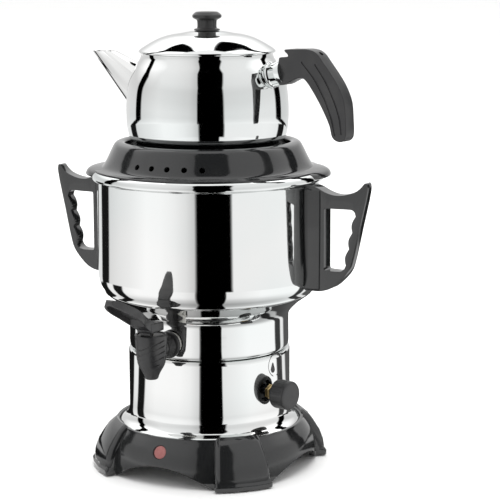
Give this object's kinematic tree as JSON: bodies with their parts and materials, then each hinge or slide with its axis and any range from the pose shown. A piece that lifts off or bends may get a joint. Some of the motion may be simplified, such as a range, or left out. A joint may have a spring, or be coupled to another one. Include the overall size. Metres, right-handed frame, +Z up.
{
  "type": "samovar",
  "caption": "Electric tabletop samovar: steel water boiler on a black footed base, lever tap, side handles, thermostat knob, and a lidded steel teapot seated in a ring on top",
  "frame": {"origin": "On the table, under the centre of the whole part's box seen from above", "axes": "+Z up; the tap points along -Y; the side handles lie along X, and the teapot's spout points to -X"},
  "size_m": [0.3428, 0.2996, 0.4446],
  "materials": {
    "polished_steel": "mirror polished",
    "plain_steel": "plain",
    "brass": "plain",
    "gloss_black": "glossy",
    "satin_black": "satin",
    "rubber": "matt",
    "white_rubber": "matt",
    "red_lens": "glossy",
    "wire_brown": "satin",
    "wire_blue": "satin"
  },
  "bodies": {
    "base": {"base_skirt": "gloss_black", "lamp_lens": "red_lens", "lamp_body": "white_rubber", "foot_pad_1": "rubber", "foot_pad_2": "rubber", "foot_pad_3": "rubber", "foot_pad_4": "rubber", "bottom_cover": "gloss_black", "cover_screw_1": "plain_steel", "cover_screw_2": "plain_steel", "cover_screw_3": "plain_steel", "cover_screw_4": "plain_steel", "base_plate": "plain_steel", "tie_rod_1": "plain_steel", "tie_rod_2": "plain_steel", "tie_nut_1": "plain_steel", "tie_nut_2": "plain_steel", "lower_shell": "polished_steel", "boiler": "polished_steel", "handle_left": "gloss_black", "handle_right": "gloss_black", "handle_screw_1": "plain_steel", "handle_screw_2": "plain_steel", "handle_screw_3": "plain_steel", "handle_screw_4": "plain_steel", "tap_body": "satin_black", "tap_gasket": "white_rubber", "tap_nut": "brass", "tap_bonnet": "satin_black", "lever_pin": "plain_steel", "heater_head": "brass", "heater_gasket": "white_rubber", "heater_nut": "brass", "heater_element": "plain_steel", "thermostat_body": "white_rubber", "thermostat_nut": "brass", "sensor_capillary": "brass", "power_inlet": "satin_black", "inlet_pin_1": "brass", "inlet_pin_2": "brass", "inlet_pin_3": "brass", "wire_line": "wire_brown", "wire_neutral": "wire_blue", "wire_heater": "wire_brown", "wire_lamp": "wire_blue"},
    "ring": {"vent_ring": "gloss_black"},
    "teapot": {"teapot_body": "polished_steel", "teapot_spout": "polished_steel", "teapot_ferrule": "polished_steel", "teapot_handle": "satin_black", "teapot_handle_screw": "plain_steel"},
    "lid": {"teapot_lid": "polished_steel", "lid_knob": "satin_black", "lid_screw": "plain_steel"},
    "lever": {"tap_lever": "satin_black"},
    "valve": {"valve_stem": "plain_steel", "valve_seal": "white_rubber", "valve_spring": "plain_steel"},
    "knob": {"thermostat_knob": "satin_black", "thermostat_shaft": "plain_steel"}
  },
  "joints": [
    {"name": "ring_lift", "type": "slide", "parent": "base", "child": "ring", "axis": [0, 0, 1], "range_m": [0, 0.05]},
    {"name": "teapot_lift", "type": "slide", "parent": "ring", "child": "teapot", "axis": [0, 0, 1], "range_m": [0, 0.05]},
    {"name": "lid_lift", "type": "slide", "parent": "teapot", "child": "lid", "axis": [0, 0, 1], "range_m": [0, 0.04]},
    {"name": "lever_press", "type": "hinge", "parent": "base", "child": "lever", "pos_m": [0, -0.0848, 0.157], "axis": [1, 0, 0], "range_deg": [0, 20], "stiffness_Nm_per_rad": 0.3, "springref_deg": -20.05},
    {"name": "valve_lift", "type": "slide", "parent": "base", "child": "valve", "axis": [0, 0, 1], "range_m": [0, 0.0028], "deforming": ["valve_spring"]},
    {"name": "knob_turn", "type": "hinge", "parent": "base", "child": "knob", "pos_m": [0.07892, 0.01798, 0.082], "axis": [0.9744, -0.225, 0], "range_deg": [0, 270]}
  ],
  "couplings": [
    {"joint": "valve_lift", "follows": "lever_press", "m_per_rad": 0.00784}
  ]
}
